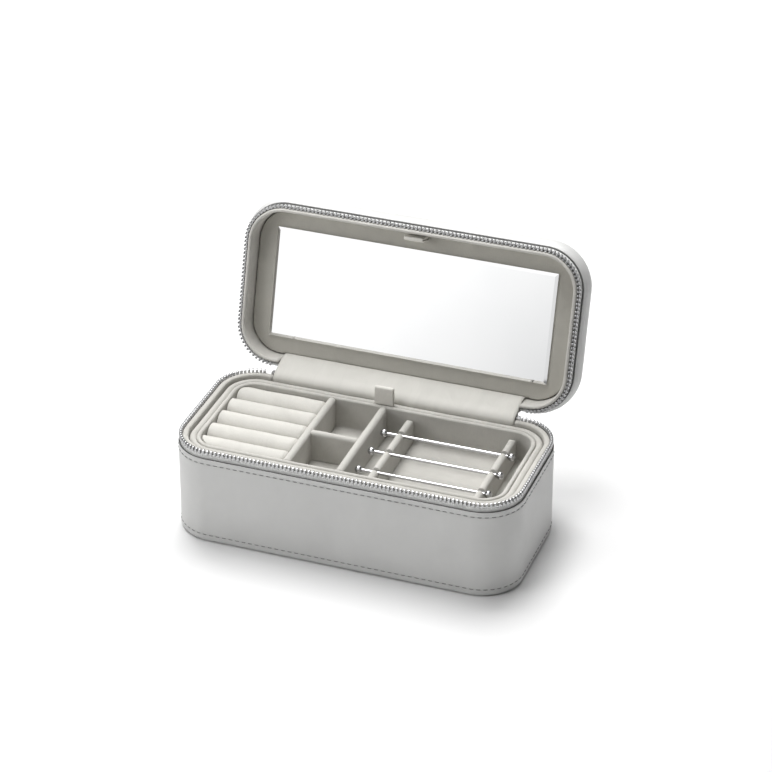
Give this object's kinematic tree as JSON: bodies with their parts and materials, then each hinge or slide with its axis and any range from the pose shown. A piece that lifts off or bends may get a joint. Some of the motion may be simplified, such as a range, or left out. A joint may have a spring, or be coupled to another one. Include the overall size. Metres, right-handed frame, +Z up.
{
  "type": "travel jewelry case",
  "caption": "Zip-round travel jewelry case, open, with a mirror lid and a lift-out tray holding ring rolls, wells and charm bars on notched rests.",
  "frame": {"origin": "centre of the underside of the case, on the surface it stands on", "axes": "+X to the right along the width, +Y to the back where the lid is hinged, +Z up"},
  "size_m": [0.2142, 0.1502, 0.1577],
  "materials": {
    "outer_leather": "smooth satin light grey",
    "board": "plain grey board",
    "velvet_lining": "short brushed pile, warm off-white",
    "tray_board": "board covered in short brushed pile, warm off-white",
    "panel_velvet": "board covered in short brushed pile, grey beige in shade",
    "hinge_fabric": "fine matt weave, beige",
    "zip_tape": "woven tape, light grey",
    "zip_metal": "bright nickel",
    "bar_metal": "polished",
    "mirror": "bevelled silvered glass",
    "foam": "soft foam"
  },
  "bodies": {
    "base": {"base_leather": "outer_leather", "base_bottom": "outer_leather", "base_floor_board": "board", "base_wall_board": "board", "base_lining": "velvet_lining", "base_ledge": "tray_board", "base_floor_pad": "velvet_lining", "zip_tape_base": "zip_tape", "zip_teeth_base": "zip_metal", "zip_end_stops": "zip_metal", "zip_slider": "zip_metal", "zip_tail": "zip_tape", "hinge_strip_base": "outer_leather", "hinge_lining_base": "hinge_fabric"},
    "zip_puller": {"zip_pull": "zip_metal"},
    "tray": {"tray_shell": "tray_board", "tray_insert": "tray_board", "divider_left": "tray_board", "divider_cross": "tray_board", "divider_middle": "tray_board", "bar_rest_left": "tray_board", "bar_rest_right": "tray_board", "ring_pad": "foam", "ring_roll_1": "velvet_lining", "ring_roll_2": "velvet_lining", "ring_roll_3": "velvet_lining", "ring_roll_4": "velvet_lining", "ring_roll_5": "velvet_lining"},
    "tray_tab": {"tray_pull_tab": "velvet_lining"},
    "bar_1": {"charm_bar_1": "bar_metal"},
    "bar_2": {"charm_bar_2": "bar_metal"},
    "bar_3": {"charm_bar_3": "bar_metal"},
    "ball_1": {"bar_ball_1": "bar_metal"},
    "ball_2": {"bar_ball_2": "bar_metal"},
    "ball_3": {"bar_ball_3": "bar_metal"},
    "lid": {"lid_leather": "outer_leather", "lid_pad": "foam", "lid_wall_board": "board", "lid_top_board": "board", "lid_lining": "velvet_lining", "zip_tape_lid": "zip_tape", "zip_teeth_lid": "zip_metal", "hinge_strip_lid": "outer_leather", "hinge_lining_lid": "hinge_fabric"},
    "mirror_flap": {"mirror_panel": "panel_velvet", "mirror_glass": "mirror", "mirror_pull_tab": "velvet_lining"}
  },
  "joints": [
    {"name": "lid_hinge", "type": "hinge", "parent": "base", "child": "lid", "pos_m": [0, 0.051, 0.0612], "axis": [-1, 0, 0], "range_deg": [-106, 0]},
    {"name": "tray_lift", "type": "slide", "parent": "base", "child": "tray", "axis": [0, 0, 1], "range_m": [0, 0.035]},
    {"name": "tray_tab_fold", "type": "hinge", "parent": "tray", "child": "tray_tab", "pos_m": [-0.0032, 0.04, 0.0601], "axis": [1, 0, 0], "range_deg": [0, 80]},
    {"name": "mirror_fold", "type": "hinge", "parent": "lid", "child": "mirror_flap", "pos_m": [0, 0.06805, 0.06515], "axis": [1, 0, 0], "range_deg": [0, 25]},
    {"name": "zip_pull_swing", "type": "hinge", "parent": "base", "child": "zip_puller", "pos_m": [0.07, 0.0562, 0.0572], "axis": [1, 0, 0], "range_deg": [0, 60]},
    {"name": "bar_1_lift", "type": "slide", "parent": "tray", "child": "bar_1", "axis": [0, 0, 1], "range_m": [0, 0.02]},
    {"name": "bar_2_lift", "type": "slide", "parent": "tray", "child": "bar_2", "axis": [0, 0, 1], "range_m": [0, 0.02]},
    {"name": "bar_3_lift", "type": "slide", "parent": "tray", "child": "bar_3", "axis": [0, 0, 1], "range_m": [0, 0.02]},
    {"name": "ball_1_screw", "type": "hinge", "parent": "bar_1", "child": "ball_1", "pos_m": [0.0823, 0.0192, 0.0522], "axis": [1, 0, 0], "continuous": true},
    {"name": "ball_2_screw", "type": "hinge", "parent": "bar_2", "child": "ball_2", "pos_m": [0.0823, -0.002, 0.0522], "axis": [1, 0, 0], "continuous": true},
    {"name": "ball_3_screw", "type": "hinge", "parent": "bar_3", "child": "ball_3", "pos_m": [0.0823, -0.0232, 0.0522], "axis": [1, 0, 0], "continuous": true}
  ]
}
